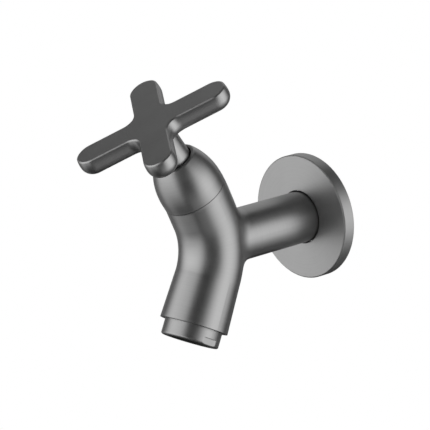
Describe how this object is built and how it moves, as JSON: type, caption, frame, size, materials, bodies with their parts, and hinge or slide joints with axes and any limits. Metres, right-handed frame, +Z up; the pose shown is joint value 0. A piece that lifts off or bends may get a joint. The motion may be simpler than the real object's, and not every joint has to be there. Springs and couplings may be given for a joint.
{
  "type": "garden tap",
  "caption": "Wall-mounted garden tap: curved spout body, cross handle on a quarter-turn ceramic valve, sliding wall flange and an aerator at the outlet.",
  "frame": {"origin": "centre of the inlet on the wall plane, where the inlet thread begins", "axes": "+Y into the wall along the inlet thread, +Z up, X = 0 is the plane of symmetry of the body"},
  "size_m": [0.056, 0.1246, 0.1162],
  "materials": {
    "gunmetal": "brushed gunmetal coat over brass",
    "gunmetal_handle": "satin gunmetal coat over brass",
    "gunmetal_flange": "brushed gunmetal coat",
    "valve_brass": "machined",
    "disc_ceramic": "lapped ceramic",
    "seal_rubber": "matte",
    "white_plastic": "moulded",
    "stainless": "plain"
  },
  "bodies": {
    "tap": {"tap_body": "gunmetal", "bonnet": "gunmetal", "bonnet_o_ring": "seal_rubber", "cartridge_body": "valve_brass", "cartridge_o_ring": "seal_rubber", "seat_seal": "seal_rubber", "fixed_disc": "disc_ceramic", "aerator_housing": "gunmetal", "aerator_washer": "seal_rubber", "aerator_insert": "white_plastic", "diffuser_plate": "white_plastic", "mesh_screens": "stainless"},
    "handle": {"handle_cross": "gunmetal_handle", "grub_screw": "stainless", "spline_adaptor": "white_plastic", "spindle": "valve_brass", "spindle_o_rings": "seal_rubber", "spindle_circlip": "stainless", "thrust_washer": "white_plastic", "disc_driver": "valve_brass", "moving_disc": "disc_ceramic"},
    "flange": {"wall_flange": "gunmetal_flange", "flange_o_ring": "seal_rubber"}
  },
  "joints": [
    {"name": "handle_turn", "type": "hinge", "parent": "tap", "child": "handle", "pos_m": [0, -0.0655, 0.0229], "axis": [0, -0.5165, 0.8563], "range_deg": [0, 90]},
    {"name": "flange_slide", "type": "slide", "parent": "tap", "child": "flange", "axis": [0, -1, 0], "range_m": [0, 0.03]}
  ]
}
